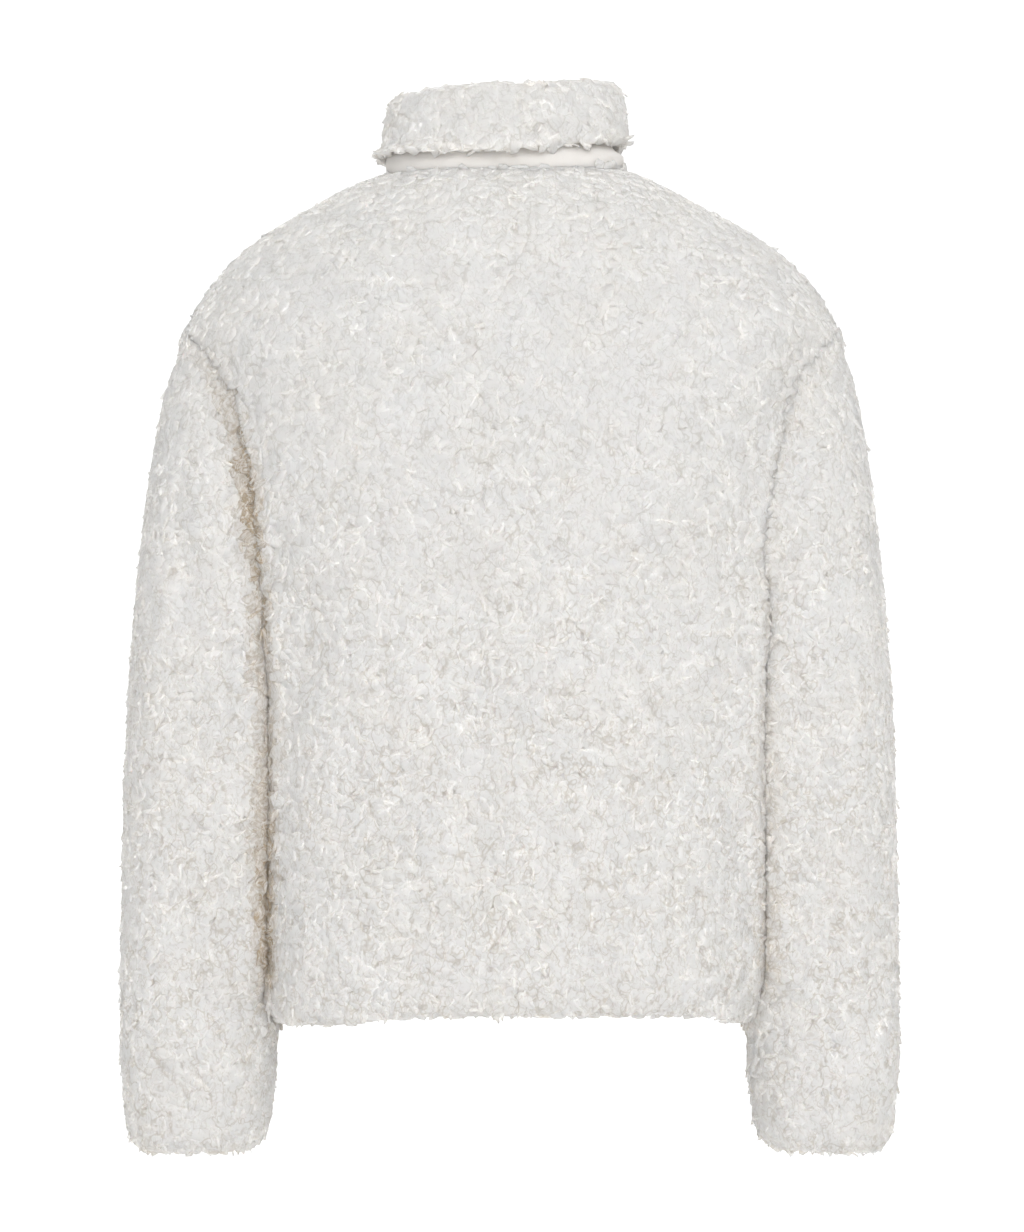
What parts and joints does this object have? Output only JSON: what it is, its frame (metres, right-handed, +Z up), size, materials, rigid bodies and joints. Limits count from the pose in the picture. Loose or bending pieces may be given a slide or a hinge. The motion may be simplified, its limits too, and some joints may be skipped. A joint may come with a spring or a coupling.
{
  "type": "fleece zip-up jacket",
  "caption": "Long-pile fleece jacket held out as if worn: folded stand collar, dropped shoulders, open neck, hem and cuffs, and a closed front zip whose pull tab turns.",
  "frame": {"origin": "middle of the neck base at the height of the back neck seam, where the garment hangs from the wearer's shoulders", "axes": "+Z up, the front faces -Y, the wearer's left is +X"},
  "size_m": [0.5574, 0.272, 0.7708],
  "materials": {
    "fleece": "long curled pile outside, smooth knit inside, matt",
    "zip_tape": "close woven tape, matt",
    "zip_metal": "satin nickel"
  },
  "bodies": {
    "jacket": {"back": "fleece", "front_left": "fleece", "front_right": "fleece", "sleeve_left": "fleece", "sleeve_right": "fleece", "collar": "fleece", "zip_tape_left": "zip_tape", "zip_tape_right": "zip_tape", "zip_slider": "zip_metal", "zip_end_box": "zip_metal"},
    "zip_pull": {"zip_pull": "zip_metal"}
  },
  "joints": [
    {"name": "zip_pull_swing", "type": "hinge", "parent": "jacket", "child": "zip_pull", "pos_m": [0, -0.09475, -0.07645], "axis": [-1, 0, 0], "range_deg": [0, 160]}
  ]
}
